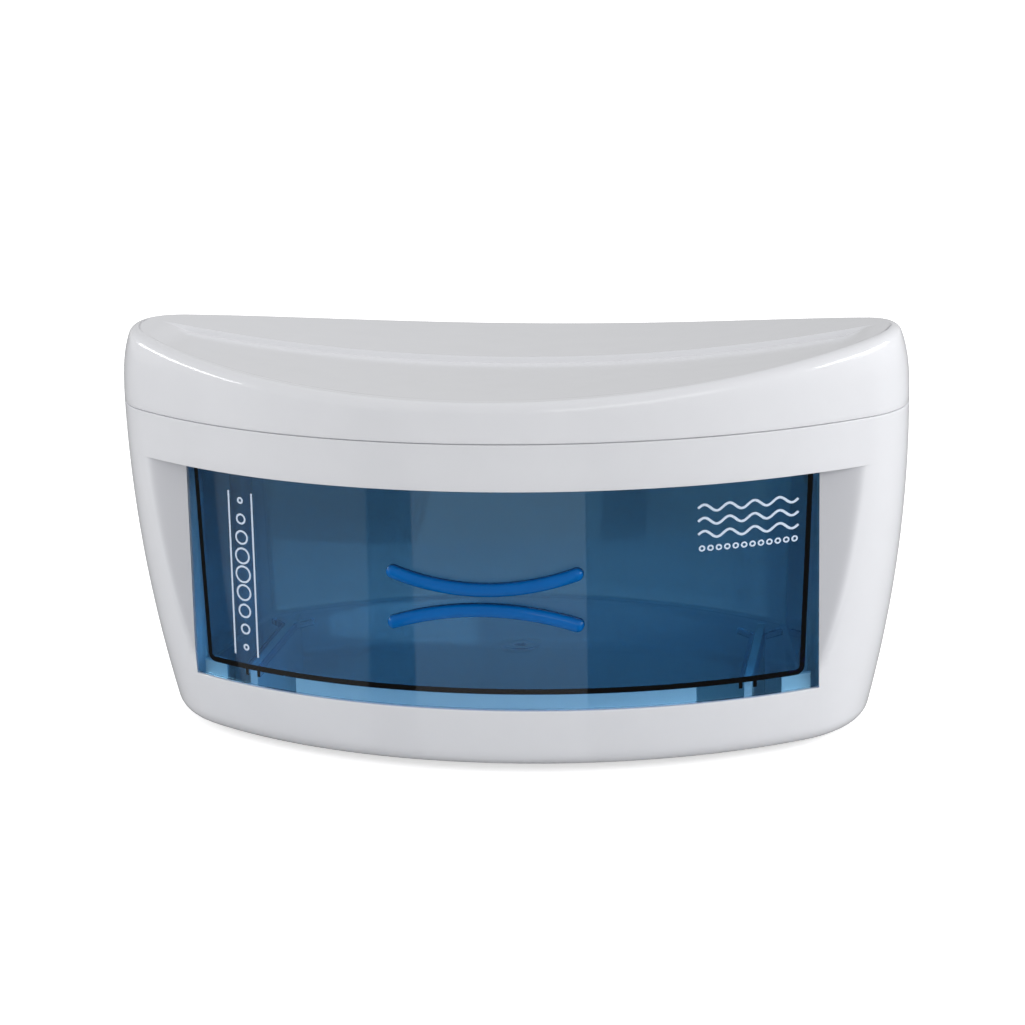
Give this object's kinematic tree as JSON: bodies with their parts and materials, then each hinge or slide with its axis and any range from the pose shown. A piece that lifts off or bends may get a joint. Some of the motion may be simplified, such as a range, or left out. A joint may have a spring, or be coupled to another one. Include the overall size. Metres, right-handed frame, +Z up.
{
  "type": "ultraviolet sterilizer cabinet",
  "caption": "Countertop ultraviolet sterilizer cabinet with a bowed white case, saddle-shaped top and a clear blue pull-out tray drawer under a lamp.",
  "frame": {"origin": "middle of the overall footprint, on the surface that the feet stand on", "axes": "+X to the right along the widest extent, +Y to the back, +Z up; the drawer pulls out along -Y"},
  "size_m": [0.37, 0.212, 0.1919],
  "materials": {
    "white_abs": "glossy injection-moulded ABS",
    "white_abs_inner": "glossy injection-moulded ABS",
    "blue_clear": "clear blue tinted moulding, polished",
    "bright_aluminium": "bright rolled sheet",
    "lamp_glass": "clear quartz-like tube",
    "lamp_cap_metal": "pressed sheet cap",
    "white_pbt": "satin moulded",
    "black_nylon": "satin moulded",
    "black_gloss": "gloss moulded",
    "zinc_steel": "zinc plated",
    "spring_steel": "thin spring strip",
    "lamination_steel": "varnished laminations",
    "coil_wrap": "taped winding",
    "starter_can": "moulded can",
    "foot_rubber": "soft moulded rubber"
  },
  "bodies": {
    "housing": {"ballast_coil_left": "coil_wrap", "ballast_coil_right": "coil_wrap", "ballast_core": "lamination_steel", "ballast_frame": "zinc_steel", "case_screws": "zinc_steel", "cord_gland": "black_nylon", "deck_screws": "zinc_steel", "foot_back_left": "foot_rubber", "foot_back_right": "foot_rubber", "foot_front_left": "foot_rubber", "foot_front_right": "foot_rubber", "interlock_bracket": "zinc_steel", "interlock_switch": "black_nylon", "lamp_cap_left": "lamp_cap_metal", "lamp_cap_right": "lamp_cap_metal", "lamp_deck": "white_abs_inner", "lamp_reflector": "bright_aluminium", "lamp_tube": "lamp_glass", "lampholder_left": "white_pbt", "lampholder_right": "white_pbt", "lower_case": "white_abs", "power_switch": "black_nylon", "starter": "starter_can", "starter_socket": "white_pbt", "terminal_block": "white_pbt", "top_cover": "white_abs"},
    "drawer": {"drawer": "blue_clear"},
    "rocker": {"power_rocker": "black_gloss"},
    "lever": {"interlock_lever": "spring_steel"}
  },
  "joints": [
    {"name": "drawer_slide", "type": "slide", "parent": "housing", "child": "drawer", "axis": [0, -1, 0], "range_m": [0, 0.12]},
    {"name": "rocker_tip", "type": "hinge", "parent": "housing", "child": "rocker", "pos_m": [-0.024, 0.1018, 0.14805], "axis": [0, 0, 1], "range_deg": [0, 16]},
    {"name": "lever_swing", "type": "hinge", "parent": "housing", "child": "lever", "pos_m": [-0.0126, 0.08372, 0.12955], "axis": [0, 0, -1], "range_deg": [0, 10]}
  ],
  "couplings": [
    {"joint": "lever_swing", "follows": "drawer_slide", "rad_per_m": 1.453}
  ]
}
